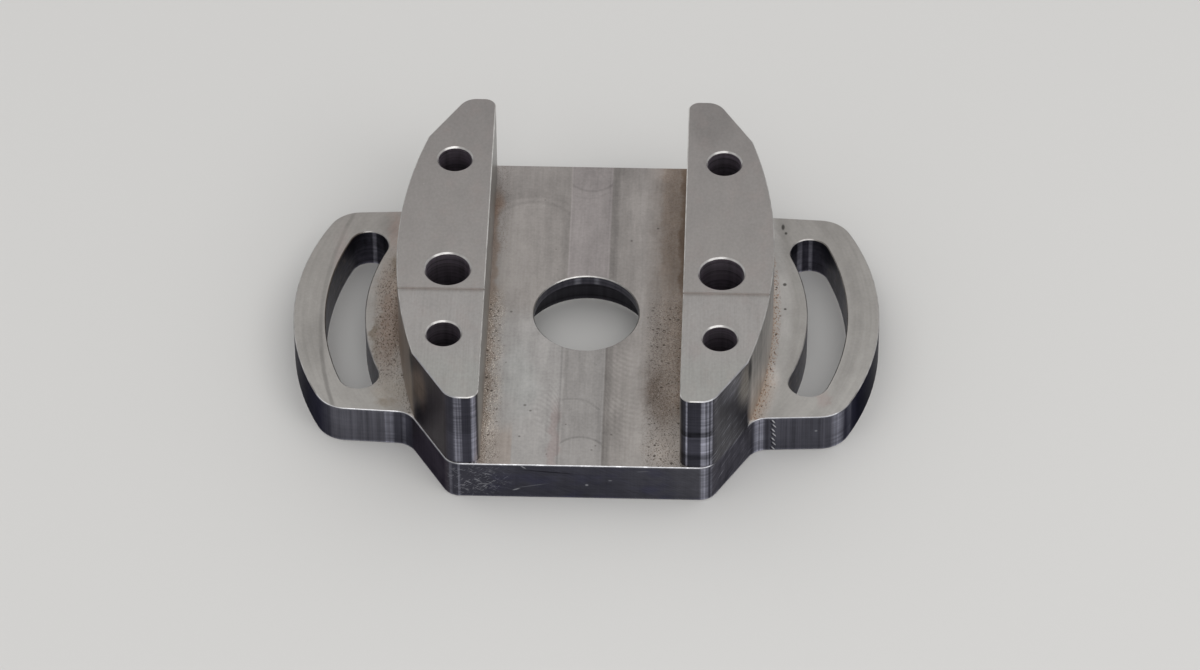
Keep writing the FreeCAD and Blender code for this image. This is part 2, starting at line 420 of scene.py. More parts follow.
def floor_cutter_marks(put, place, tone, blots):
    """The tone with the arcs where the cutters stopped, started and dwelt, and their feed marks."""
    _, y, _ = put("SeparateXYZ", (place,)).node.outputs
    left_pass, middle_pass, _ = channel_passes(put, place)
    for amount, centre, radius, middle, reach in (
        (-0.12, (0.0, 54.4), 7.1, 41.25, 11.25),
        (-0.16, (0.0, -53.7), 7.3, -52.0, 8.0),
        (-0.10, (-2.5, -40.3), 8.0, -33.0, 3.0),
        (-0.06, (-1.0, 51.2), 6.9, 43.25, 3.25),
    ):
        line = arc(put, place, centre, radius, 0.15, 0.45)
        span = near(put, y, middle, reach, 0.5)
        tone = raised(put, tone, (both(put, line, span, middle_pass), amount))
    restart = spot(put, place, (0.0, -53.7), (7.3, 7.3), 0.05)
    tone = raised(put, tone, (both(put, restart, middle_pass), 0.07))
    dwell = above(put, y, 33.0, 5.0)
    for amount, radius in ((-0.07, 12.4), (0.03, 13.4), (0.04, 11.4), (-0.05, 14.8), (-0.04, 16.2)):
        ring = arc(put, place, (-15.0, 30.2), radius, 0.25, 0.7)
        tone = raised(put, tone, (both(put, ring, dwell, left_pass), amount))
    cleaner = above(put, blots, -0.9, 1.2)
    for centre_x, ahead, centre, radii in (
        (16.0, -1.0, (10.5, -30.0), (6.0, 24.0)),
        (-16.5, 1.0, (-9.0, -36.0), (4.5, 14.0)),
    ):
        marks = feed_marks(put, place, centre_x, CUTTER_RADIUS, FEED_PITCH, ahead)
        marks = both(put, marks, spot(put, place, centre, radii, 0.5), cleaner)
        tone = raised(put, tone, (marks, 0.05))
    return tone


def floor_stains(put, place, ragged, colour):
    """The colour with the brown that coolant left as it dried along the feet of the walls, and a painted
    shadow in a line at each wall's foot.
    """
    x, y, _ = put("SeparateXYZ", (place,)).node.outputs
    across, along, _ = put("SeparateXYZ", (ragged,)).node.outputs
    crust = mottle(put, place, (0.7, 0.9, TALL), 8.0, 3.0)
    uneven = put("MapRange", (crust, -1.0, 1.0, 0.6, 1.0))
    right_foot = both(put, above(put, across, 13.8, 9.5), above(put, along, -47.0, 13.0))
    # Painted shadow: a brown, uneven line at the right wall's foot, partly stain
    foot_stain_and_shadow = both(put, near(put, across, 25.6, 0.5, 1.2), above(put, y, -42.0, 8.0))
    colour = stained(
        put,
        colour,
        (both(put, near(put, across, -7.0, 0.5, 1.4), below(put, y, -30.0, 10.0)), "#9b8986", 0.45),
        (both(put, right_foot, uneven), "#7b6f65", 0.95),
        (both(put, above(put, across, 18.4, 2.0), above(put, y, 8.0, 12.0)), "#7d7066", 0.45),
        (both(put, foot_stain_and_shadow, uneven), "#6a5849", 0.4),
        (both(put, foot_stain_and_shadow, above(put, y, 4.0, 10.0)), "#5a493c", 0.5),
    )
    for code, centre, radii, strength in (
        ("#5f544c", (18.9, -28.5), (5.0, 13.5), 0.75),
        ("#5f544c", (18.4, -29.0), (2.6, 8.5), 0.4),
        ("#6b6058", (21.4, -37.0), (4.0, 9.0), 0.5),
        ("#a09387", (22.5, -50.0), (8.0, 13.0), 0.4),
    ):
        blotch = spot(put, ragged, centre, radii, 0.85)
        colour = stained(put, colour, (both(put, blotch, uneven), code, strength))
    speckled = both(put, below(put, across, -20.5, 3.5), near(put, along, -20.0, 20.0, 14.0))
    return stained(
        put,
        colour,
        # Painted shadow: a brownish line along the left wall's foot
        (both(put, near(put, across, -25.6, 0.3, 1.4), below(put, y, 52.0, 12.0)), "#85756a", 0.7),
        (spot(put, ragged, (-25.0, 41.0), (2.2, 8.0), 0.8), "#8a6f5c", 0.35),
        (both(put, speckled, uneven), "#a3968a", 0.5),
        (both(put, near(put, x, -22.4, 4.2, 0.5), below(put, along, -40.0, 8.0)), "#aa9d93", 0.6),
    )


def floor_pits(put, place, ragged, colour):
    """The colour with pits and flecks, finest and closest beside the walls, and a painted highlight on the
    front's burr.
    """
    x, y, _ = put("SeparateXYZ", (place,)).node.outputs
    across, _, _ = put("SeparateXYZ", (ragged,)).node.outputs
    _, _, right_pass = channel_passes(put, place)
    front_part = below(put, y, 12.0, 14.0)
    left_pits = both(put, below(put, across, -20.0, 4.0), front_part)
    right_pits = both(put, above(put, across, 14.5, 5.0), front_part)
    pitted = either(put, left_pits, right_pits)
    feet = either(put, below(put, across, -20.5, 3.0), above(put, across, 17.5, 4.0))
    grit = above(put, mottle(put, place, (0.34, 0.42, TALL), 9.0), 0.1, 0.5)
    flecks = above(put, mottle(put, place, (0.3, 0.36, TALL), 10.0, 1.0), 0.3, 0.5)
    colour = stained(
        put,
        colour,
        (both(put, grit, pitted), "#4a3e35", 0.6),
        (both(put, grit, feet, above(put, y, 14.0, 14.0)), "#5f5147", 0.35),
        (both(put, flecks, pitted, below(put, x, -18.0, 2.0)), "#ded5ca", 0.75),
        (both(put, flecks, pitted, right_pass), "#b3a89e", 0.35),
        (both(put, specks(put, place, 1.3, 0.75), left_pits), "#362d27", 0.8),
        (both(put, specks(put, place, 1.5, 0.85), pitted), "#362d27", 0.75),
        (both(put, specks(put, place, 1.1, 0.55), right_pits), "#2c241f", 0.6),
        (specks(put, place, 4.0, 0.6), "#504a45", 0.5),
    )
    for x_mark, y_mark, radius in (
        (17.7, 1.3, 0.55),
        (18.3, 33.0, 0.5),
        (11.3, 28.0, 0.45),
        (24.5, -2.0, 0.7),
        (-15.0, -35.0, 0.6),
        (-13.5, -37.0, 0.5),
        (-16.0, -46.5, 0.45),
        (-20.0, 0.0, 0.5),
        (3.0, -51.0, 0.4),
    ):
        pit = spot(put, place, (x_mark, y_mark), (radius, radius), 0.7)
        colour = stained(put, colour, (pit, "#3a342f", 0.55))
    ragged_edge = above(put, mottle(put, place, (1.6, 9.0, 9.0), 6.0, 3.0), -0.1, 0.4)
    # Painted highlight: the burr along the front edge made nearly white
    burr_highlight = both(put, below(put, y, FRONT + 0.45, 0.15), ragged_edge)
    return stained(put, colour, (burr_highlight, "#e4e4e6", 0.5))


def end_milled_channel_floor():
    """End-milled aluminium: soft grey lanes with the cutter's arcs, stained and pitted at the walls, with
    painted shadow at the walls' feet and painted shade towards the back.
    """
    material, put, place = start_material("end_milled_channel_floor")
    blots = mottle(put, place, (3.5, 7.0, TALL), 1.0, 4.0)
    tone = floor_cutter_marks(put, place, floor_tone(put, place, blots), blots)
    ragged = wobbled(put, place, 5.0, 1.0)
    colour = floor_stains(put, place, ragged, floor_colour(put, place))
    colour = toned(put, floor_pits(put, place, ragged, colour), tone)
    roughness = put("MapRange", (tone, -0.2, 0.2, 0.5, 0.4))
    finish_metal(put, colour, roughness, tone, 0.02)
    return material


# Tops of the ears


def ear_tone(put, place, flat, left, right):
    """Lanes that follow the ear round the bore, the line where two passes meet, and dull corners."""
    x, y, _ = put("SeparateXYZ", (place,)).node.outputs
    radius = put("VectorMath", (flat,), operation="LENGTH")
    angle = put("Math", (y, put("Math", (x,), operation="ABSOLUTE")), operation="ARCTAN2")
    turned = put("Math", (angle, SLOT_RADIUS), operation="MULTIPLY")
    lanes = put("CombineXYZ", (radius, turned, x))
    pass_edge = both(put, arc(put, place, (49.5, -2.0), 120.0, 0.15, 0.7), left)
    tone = raised(
        put,
        0.0,
        (mottle(put, place, (4.0, 6.0, TALL), 1.0, 4.0), 0.06),
        (mottle(put, lanes, (0.7, 14.0, TALL), 2.0), 0.035),
        (mottle(put, place, LEVEL_GRAIN, 3.0), 0.035),
        (pass_edge, -0.14),
        (both(put, pass_edge, below(put, y, -12.0, 8.0)), -0.14),
        (both(put, near(put, radius, 72.2, 0.9, 1.3), right), -0.07),
        (near(put, radius, 75.6, 0.1, 0.5), -0.04),
        (both(put, right, below(put, y, -16.0, 16.0)), 0.09),
        (both(put, left, below(put, y, -28.0, 5.0)), 0.02),
    )
    for amount, centre, radii in (
        (-0.14, (-72.0, -13.0), (5.0, 14.0)),
        (-0.18, (50.5, 27.0), (5.5, 18.0)),
        (0.2, (50.0, -22.0), (2.6, 7.0)),
        (-0.12, (-54.0, 32.0), (4.0, 7.0)),
    ):
        tone = raised(put, tone, (spot(put, place, centre, radii, 0.8), amount))
    return tone


def ear_stains(put, place, ragged, colour):
    """The colour with the brown and pinkish stains between the slots and the walls."""
    crust = mottle(put, place, (0.9, 1.1, TALL), 8.0, 3.0)
    uneven = put("MapRange", (crust, -1.0, 1.0, 0.55, 1.0))
    for code, centre, radii, strength in (
        ("#8a7c71", (-52.0, -2.0), (6.4, 34.0), 0.95),
        ("#7d6a60", (-52.5, -6.0), (3.2, 20.0), 0.4),
        ("#6c5f4f", (-51.6, 17.5), (1.9, 7.0), 0.65),
        ("#96827a", (-52.3, 31.0), (3.2, 11.0), 0.6),
        ("#6c5f4f", (-56.0, -9.0), (1.7, 7.0), 0.7),
        ("#6c5f4f", (-55.0, -17.0), (1.5, 5.0), 0.5),
        ("#a09689", (-50.5, -31.0), (6.5, 9.0), 0.45),
        ("#7d705f", (-52.0, -35.0), (3.6, 2.2), 0.5),
        ("#a08f8c", (-66.5, 20.0), (2.4, 16.0), 0.35),
        ("#9c8a86", (63.5, -31.0), (2.6, 4.5), 0.5),
        ("#9b9995", (56.5, 13.0), (3.0, 6.0), 0.5),
    ):
        blotch = spot(put, ragged, centre, radii, 0.75)
        colour = stained(put, colour, (both(put, blotch, uneven), code, strength))
    return colour


def ear_grit(put, place, ragged, flat, left, right, colour):
    """The colour with dark grit along the left wall, rusty grit along the right one, pits, and painted
    light along the right wall's foot.
    """
    _, y, _ = put("SeparateXYZ", (place,)).node.outputs
    bow_centre = (WALL_REACH - WALL_FACE_RADIUS, 0.0, 0.0)
    off_wall = put("VectorMath", (flat, bow_centre), operation="DISTANCE")
    off_wall = put("Math", (off_wall, WALL_FACE_RADIUS), operation="SUBTRACT")
    foot = both(put, below(put, off_wall, 5.0, 5.0), below(put, y, 22.0, 18.0))
    left_foot = both(put, foot, left)
    right_foot = both(put, foot, right, below(put, off_wall, 2.2, 2.2))
    front_foot = both(put, foot, right, below(put, y, -18.0, 9.0))
    left_line = both(put, near(put, off_wall, 0.3, 0.5, 1.3), near(put, y, 4.0, 14.0, 9.0), left)
    right_line = both(put, near(put, off_wall, 0.8, 0.6, 1.0), below(put, y, 34.0, 14.0), right)
    rusty = either(put, right_line, front_foot)
    dirty = spot(put, ragged, (-52.5, -4.0), (5.5, 32.0))
    grit = above(put, mottle(put, place, (0.36, 0.7, TALL), 9.0), 0.12, 0.5)
    flecks = above(put, mottle(put, place, (0.36, 0.45, TALL), 10.0), 0.3, 0.5)
    colour = stained(
        put,
        colour,
        (left_line, "#5d4f45", 0.55),
        (both(put, grit, dirty), "#43372e", 0.6),
        (both(put, grit, left_foot), "#43372e", 0.5),
        (both(put, flecks, left_foot), "#c3b9ad", 0.5),
        (both(put, specks(put, place, 1.4, 0.8), either(put, left_foot, dirty)), "#33291f", 0.75),
        # Painted light: a pale band along the foot of the right wall
        (both(put, near(put, off_wall, 2.2, 1.2, 2.8), right), "#b8b5b2", 0.7),
        (right_foot, "#b0a294", 0.5),
        (front_foot, "#bcab9b", 0.6),
        (both(put, flecks, rusty), "#a8724a", 0.55),
        (both(put, grit, rusty), "#7c5a44", 0.7),
        (both(put, specks(put, place, 1.1, 0.7), rusty), "#33261d", 0.85),
    )
    for centre, radii in (
        ((52.0, 34.4), (0.6, 1.5)),
        ((52.8, 32.0), (0.5, 0.7)),
        ((52.7, 12.2), (0.7, 0.8)),
        ((52.9, 2.8), (0.5, 0.5)),
        ((48.7, -15.3), (0.6, 0.8)),
    ):
        colour = stained(put, colour, (spot(put, place, centre, radii), "#2d2b27", 0.8))
    return colour


def end_milled_ear():
    """End-milled aluminium: passes that follow the ear round, stained where the ear meets the wall, with
    painted shade towards the back.
    """
    material, put, place = start_material("end_milled_ear")
    x, y, _ = put("SeparateXYZ", (place,)).node.outputs
    flat = put("CombineXYZ", (put("Math", (x,), operation="ABSOLUTE"), y, 0.0))
    left = below(put, x, 0.0, 1.0)
    right = above(put, x, 0.0, 1.0)
    tone = ear_tone(put, place, flat, left, right)
    # Painted shade: the ears darker towards the back
    painted_shade_behind = put("MapRange", (y, -40.0, 40.0, 0.0, 1.0))
    colour = stained(put, linear("#a6a39f"), (painted_shade_behind, "#95918d", 1.0), (right, "#a6a4a1", 0.2))
    ragged = wobbled(put, place, 3.5, 1.3)
    colour = ear_stains(put, place, ragged, colour)
    colour = ear_grit(put, place, ragged, flat, left, right, colour)

    # The narrow ledge on the slanting side, with a painted highlight
    outwards = (math.sin(SHOULDER_ANGLE), -math.cos(SHOULDER_ANGLE), 0.0)
    reach = put("VectorMath", (flat, outwards), operation="DOT_PRODUCT")
    edge = HALF_FLAT * outwards[0] + FRONT * outwards[1]
    ledge = both(put, above(put, reach, edge - 0.65, 0.15), below(put, y, -38.5, 0.8))
    colour = toned(put, stained(put, colour, (ledge, "#d6d2ce", 0.8)), tone)
    roughness = put("MapRange", (tone, -0.2, 0.2, 0.5, 0.4))
    finish_metal(put, colour, roughness, tone, 0.015)
    return material


# Upright faces


def side_milled(put, place):
    """The marks that the cutter's flank leaves on every upright face: streaks, bands and their tone."""
    streaks = mottle(put, place, (CUTTER_LINE, CUTTER_LINE, 90.0), 1.0, 3.0)
    bands = mottle(put, place, (30.0, 30.0, 0.9), 2.0)
    blots = mottle(put, place, (5.0, 5.0, 6.0), 3.0, 3.0)
    return streaks, bands, raised(put, 0.0, (streaks, 0.16), (bands, 0.08), (blots, 0.12))


def front_shoulders(put, place):
    """Masks: the left and the right slanting face at the front."""
    x, y, _ = put("SeparateXYZ", (place,)).node.outputs
    shoulders = below(put, y, SHOULDERS_Y, 1.5)
    left = both(put, shoulders, below(put, x, LEFT_SHOULDER_X, 2.0))
    return left, both(put, shoulders, above(put, x, RIGHT_SHOULDER_X, 2.0))


def painted_highlight_bands(put, place, streaks, bands, table):
    """Mask: painted highlights as upright light bands, each with a place, a half width and a strength,
    uneven along and across.
    """
    light = [
        both(put, patch(put, place, (x, y, BAND_HEIGHT), (width, BAND_DEPTH, THROUGH)), strength)
        for x, y, width, strength in table
    ]
    broken = put("MapRange", (streaks, -0.9, 0.6, 0.3, 1.0))
    crossed = put("MapRange", (bands, -1.0, 0.6, 0.5, 1.0))
    return both(put, either(put, *light), broken, crossed)


def scratched_shoulder(put, place, colour, tone, shoulder):
    """The colour and tone of the right shoulder with its long slanting scratches."""
    scratch = mottle(put, leaning(put, place, 38.0), (6.0, 6.0, CUTTER_LINE), 4.0, 4.0)
    tone = raised(put, tone, (both(put, scratch, shoulder), 0.36))
    deepest = both(put, above(put, scratch, 0.3, 0.7), shoulder)
    return stained(put, colour, (deepest, "#a5a7b0", 0.5)), tone


def plate_colour_with_painted_shade(put, place):
    """The dark of each face of the plate, painted as shade and dark reflections, lighter towards the back.
    """
    x, y, _ = put("SeparateXYZ", (place,)).node.outputs
    side = put("Math", (x,), operation="ABSOLUTE")
    front = below(put, y, PLATE_FRONT_Y, 0.3)
    ear_front = below(put, y, EAR_FRONTS_Y, 1.0)
    left_shoulder, right_shoulder = front_shoulders(put, place)
    clouds = mottle(put, place, (9.0, 9.0, 5.0), 8.0)
    # Painted shade and dark reflections: the front faces darkest, the back ones lighter
    return stained(
        put,
        linear("#4a4a53"),
        (above(put, y, -30.0, 40.0), "#66666b", 1.0),
        (both(put, front, above(put, x, 5.0, 25.0)), "#57575e", 0.9),
        (both(put, front, clouds), "#40405c", 0.35),
        (above(put, side, 71.0, 2.0), "#3a3a42", 0.9),
        (right_shoulder, "#6c6b72", 0.95),
        (left_shoulder, "#57535a", 0.95),
        (both(put, ear_front, below(put, x, -49.0, 2.0)), "#6a6a73", 0.9),
        (both(put, ear_front, above(put, x, 48.0, 2.0)), "#5a5a63", 0.9),
    )


def front_scuffs(put, place):
    """Mask: short crossed scratches, close together at the left of the front."""
    first = mottle(put, leaning(put, place, 38.0), (1.6, 9.0, 0.35), 5.0, 3.0)
    second = mottle(put, leaning(put, place, -25.0), (2.2, 9.0, 0.3), 6.0, 3.0)
    return either(put, above(put, first, 0.3, 0.5), above(put, second, 0.35, 0.5))


def front_scratches(put, place, colour):
    """The colour with single scratches and dents on the front faces, each at its own slant."""
    _, y, _ = put("SeparateXYZ", (place,)).node.outputs
    facing = below(put, y, -30.0, 1.0)
    for x_mark, z_mark, half_length, half_width, lean, code in (
        (-12.5, 4.4, 5.5, 0.2, -12.0, "#77787f"),
        (-16.5, 3.0, 1.4, 0.3, -20.0, "#b0b1b8"),
        (-24.5, 4.8, 2.6, 0.22, 2.0, "#9a9ba2"),
        (-14.6, 11.2, 1.2, 0.3, 38.0, "#b0b1b8"),
        (-8.0, 9.6, 10.0, 0.25, 5.0, "#1a1a20"),
        (1.9, 5.0, 0.6, 0.45, 0.0, "#b0b1b8"),
        (8.0, 6.8, 0.7, 0.3, 0.0, "#8a8b92"),
        (16.5, 10.4, 2.2, 0.25, -6.0, "#6f7078"),
        (61.5, 7.0, 0.5, 0.4, 0.0, "#a0a1a8"),
    ):
        from_mark = put("VectorMath", (place, (x_mark, 0.0, z_mark)), operation="SUBTRACT")
        radii = (half_length, THROUGH, half_width)
        mark = patch(put, leaning(put, from_mark, -lean), (0.0, 0.0, 0.0), radii, 0.7)
        colour = stained(put, colour, (both(put, mark, facing), code, 0.8))
    return colour


def chatter_nicks(put, place, colour):
    """The colour with a column of short slanting nicks on the front of the right ear, each a painted
    highlight with painted shade beside it.
    """
    nick_x, nick_y, nick_z = LOWEST_NICK
    for step in range(NICKS):
        nick = (nick_x + 0.25 * (step % 2), nick_y, nick_z + NICK_PITCH * step)
        from_nick = put("VectorMath", (place, nick), operation="SUBTRACT")
        slanting = leaning(put, from_nick, -55.0)
        bright = patch(put, slanting, (0.0, 0.0, 0.0), (0.95, 2.0, 0.22), 0.5)
        shaded = patch(put, slanting, (-0.2, 0.0, -0.5), (0.8, 2.0, 0.25), 0.5)
        colour = stained(put, colour, (bright, "#e2e3e8", 0.85), (shaded, "#232227", 0.7))
    return colour


def side_milled_plate():
    """Side-milled aluminium: dark and cool from painted shade and dark reflections, streaked up and down.
    """
    material, put, place = start_material("side_milled_plate")
    x, y, _ = put("SeparateXYZ", (place,)).node.outputs
    side = put("Math", (x,), operation="ABSOLUTE")
    streaks, bands, tone = side_milled(put, place)
    front = below(put, y, PLATE_FRONT_Y, 0.3)
    on_ear = both(put, below(put, y, EAR_FRONTS_Y, 1.0), above(put, side, 44.0, 4.0))
    wide_streaks = mottle(put, place, (1.0, 1.0, 60.0), 12.0, 3.0)
    cross_scratches = mottle(put, leaning(put, place, -25.0), (5.0, 9.0, 0.4), 10.0, 4.0)
    tone = raised(
        put,
        tone,
        (both(put, streaks, front), -0.12),
        (both(put, wide_streaks, on_ear), 0.25),
        (both(put, cross_scratches, front), 0.12),
    )

    # Painted highlights: light bands standing in for reflections
    highlight_table = (
        (-50.6, -38.2, 1.7, 0.55),
        (-46.8, -38.6, 0.7, 0.35),
        (-33.6, -56.0, 0.5, 0.35),
        (-31.4, -57.0, 0.35, 0.9),
        (32.5, -56.6, 1.35, 0.9),
        (34.4, -55.8, 0.35, 0.5),
        (46.5, -39.0, 1.9, 1.0),
        (67.5, -37.0, 2.3, 0.75),
        (70.6, -34.8, 1.5, 0.5),
    )
    light = painted_highlight_bands(put, place, streaks, bands, highlight_table)
    colour = stained(put, plate_colour_with_painted_shade(put, place), (light, "#b4b5c4", 0.9))

    # Scratches, scuffs and nicks
    _, right_shoulder = front_shoulders(put, place)
    colour, tone = scratched_shoulder(put, place, colour, tone, right_shoulder)
    scuffs = front_scuffs(put, place)
    scuffed = patch(put, wobbled(put, place, 4.0, 1.5), (-27.0, FRONT, 6.0), (12.0, 4.0, 9.0), 0.9)
    colour = stained(put, colour, (both(put, scuffs, scuffed), "#a2a3ab", 0.8))
    colour = chatter_nicks(put, place, front_scratches(put, place, colour))
    roughness = put("MapRange", (light, 0.0, 1.0, 0.33, 0.42))
    relief = raised(put, streaks, (scuffs, 0.3))
    finish_metal(put, toned(put, colour, tone), roughness, relief, 0.01, "#959599")
    return material


def wall_bow(put, place):
    """Mask: the walls' bowed outer faces."""
    x, y, _ = put("SeparateXYZ", (place,)).node.outputs
    side = put("Math", (x,), operation="ABSOLUTE")
    return both(put, near(put, y, 0.0, 37.5, 4.5), above(put, side, HALF_CHANNEL + 0.5, 0.5))


def wall_colour_with_painted_reflections(put, place):
    """The walls' faces with painted reflections: bright over the floor and the ears, the left one brown
    from its foot, and painted dark on the front shoulders.
    """
    x, y, z = put("SeparateXYZ", (place,)).node.outputs
    side = put("Math", (x,), operation="ABSOLUTE")
    left_shoulder, right_shoulder = front_shoulders(put, place)
    bow = wall_bow(put, place)
    left_bow = both(put, bow, below(put, x, 0.0, 1.0))
    # Painted reflections: light bows and channel faces, the left bow brown towards its foot, dark front
    # shoulders and ends
    colour = stained(
        put,
        linear("#46464f"),
        (above(put, y, -30.0, 40.0), "#66666b", 1.0),
        (right_shoulder, "#535257", 0.9),
        (left_shoulder, "#2b2229", 0.95),
        (both(put, bow, above(put, x, 0.0, 1.0)), "#bdbab7", 1.0),
        (left_bow, "#8c8179", 1.0),
        (both(put, left_bow, below(put, z, PLATE_TOP + 15.0, 15.0)), "#8c7a69", 0.6),
        (below(put, side, HALF_CHANNEL + 0.5, 0.3), "#9d9b97", 1.0),
    )
    # Painted reflections: the two nearly black patches are dark reflections, and the two small pale ones
    # highlights
    for code, centre, radii, strength in (
        ("#6a5a50", (-42.3, -43.5, 27.0), (4.5, 6.0, 11.0), 0.85),
        ("#a19c96", (43.0, -43.0, 29.0), (3.4, 6.0, 11.0), 0.85),
        ("#7c7c84", (39.5, -48.0, 33.0), (5.0, 8.0, 6.0), 0.7),
        ("#141316", (-44.6, -39.6, 32.0), (1.3, 4.0, 6.5), 0.9),
        ("#1b1b21", (44.3, -40.3, 31.5), (1.1, 3.0, 6.0), 0.9),
        ("#dedcd9", (45.4, -38.0, 22.0), (0.7, 1.3, 8.0), 0.8),
        ("#d0d1d6", (-26.3, -56.0, 13.0), (1.1, 1.6, 1.5), 0.8),
    ):
        colour = stained(put, colour, (patch(put, place, centre, radii, 0.8), code, strength))
    return colour


def wall_end_tone(put, place, ends, tone):
    """The tone with the passes that ended part of the way up the walls' ends."""
    x, _, z = put("SeparateXYZ", (place,)).node.outputs
    right_end = both(put, ends, above(put, x, 0.0, 1.0))
    left_end = both(put, ends, below(put, x, 0.0, 1.0))
    return raised(
        put,
        tone,
        (both(put, right_end, near(put, z, 22.4, 0.15, 0.35)), 0.6),
        (both(put, right_end, near(put, z, 23.8, 0.6, 0.6)), -0.55),
        (both(put, right_end, near(put, z, 15.3, 0.5, 0.8)), -0.4),
        (both(put, right_end, near(put, z, 19.3, 1.8, 1.0)), 0.45),
        (both(put, left_end, below(put, z, 22.2, 0.5)), 0.35),
        (both(put, left_end, near(put, z, 22.4, 0.1, 0.3)), 0.4),
        (both(put, ends, mottle(put, place, (6.0, 6.0, CUTTER_LINE), 9.0)), 0.16),
    )


def side_milled_wall():
    """Side-milled aluminium with painted reflections: bright where it stands over a milled floor, dark and
    cool where it doesn't.
    """
    material, put, place = start_material("side_milled_wall")
    x, y, _ = put("SeparateXYZ", (place,)).node.outputs
    side = put("Math", (x,), operation="ABSOLUTE")
    streaks, bands, tone = side_milled(put, place)
    left_shoulder, right_shoulder = front_shoulders(put, place)
    wide_streaks = mottle(put, place, (1.1, 1.1, 60.0), 12.0)
    shoulder_clouds = mottle(put, place, (2.6, 2.6, 4.0), 13.0, 4.0)
    tone = raised(
        put,
        tone,
        (both(put, wide_streaks, wall_bow(put, place)), 0.22),
        (both(put, shoulder_clouds, left_shoulder), 0.3),
    )

    # Painted highlights at the front ends: light bands standing in for reflections, with painted dark
    # reflections between them
    highlight_table = (
        (-31.5, -56.4, 1.5, 0.75),
        (-27.3, -56.2, 0.9, 0.95),
        (27.8, -56.3, 0.35, 0.8),
        (32.6, -56.4, 1.5, 0.85),
        (34.3, -55.8, 0.35, 1.0),
    )
    light = painted_highlight_bands(put, place, streaks, bands, highlight_table)
    ends = both(put, below(put, y, -54.0, 1.0), below(put, side, 35.5, 1.5))
    colour = stained(
        put,
        wall_colour_with_painted_reflections(put, place),
        (light, "#b4b5c4", 0.9),
        (both(put, ends, below(put, light, 0.4, 0.3)), "#33333c", 0.6),
    )
    tone = wall_end_tone(put, place, ends, tone)
    colour, tone = scratched_shoulder(put, place, colour, tone, right_shoulder)
    roughness = put("MapRange", (light, 0.0, 1.0, 0.33, 0.42))
    finish_metal(put, toned(put, colour, tone), roughness, streaks, 0.01, "#ededed")
    return material


# Holes, edges and underside


def bored_wall():
    """Drilled and bored aluminium: painted dark inside as shade, with faint rings from the feed of the
    tool.
    """
    material, put, place = start_material("bored_wall")
    x, y, z = put("SeparateXYZ", (place,)).node.outputs
    side = put("Math", (x,), operation="ABSOLUTE")
    rings = mottle(put, place, (60.0, 60.0, 0.7), 1.0)
    clouds = mottle(put, place, (1.8, 1.8, 3.0), 3.0, 3.0)
    in_slot = above(put, side, HOLE_X + 8.0, 1.0)
    slot_middle = both(put, in_slot, near(put, y, 0.0, 25.0, 3.0))
    upper_rings = both(put, above(put, z, WALL_TOP - 7.0, 7.0), above(put, rings, -0.6, 1.0))
    tone = raised(
        put,
        0.0,
        (rings, 0.3),
        (mottle(put, place, (1.2, 1.2, 60.0), 2.0), 0.2),
        (both(put, clouds, in_slot), 0.35),
        (upper_rings, 0.4),
    )
    scraped = above(put, mottle(put, place, (2.6, 2.6, 1.2), 4.0, 4.0), 0.2, 0.5)
    # Painted shade: the holes and slots dark inside
    colour = stained(
        put,
        linear("#3b3a40"),
        (above(put, z, PLATE_TOP, 1.0), "#aaa2ab", 1.0),
        (in_slot, "#474652", 0.8),
        (both(put, scraped, slot_middle), "#6e655f", 0.5),
    )

    # Painted highlights: bright lines down the back ends of the slots, and the thin lip painted lighter
    # with its two gleams
    for x_mark, reach in ((-58.2, 0.2), (56.6, 0.35), (59.5, 0.15)):
        line = both(put, near(put, x, x_mark, reach, 0.6), above(put, y, 26.0, 1.0))
        colour = stained(put, colour, (line, "#b2b1bf", 0.6))
    lip = both(put, near(put, x, 0.0, 15.0, 0.5), near(put, z, PLATE_TOP, 2.7, 0.1))
    gleam = either(put, near(put, x, -2.8, 0.2, 1.2), near(put, x, 2.4, 0.1, 1.0))
    colour = stained(put, colour, (lip, "#5d5c66", 0.8), (both(put, lip, gleam), "#a9a9b4", 0.6))
    finish_metal(put, toned(put, colour, tone), 0.42, rings, 0.01)
    return material


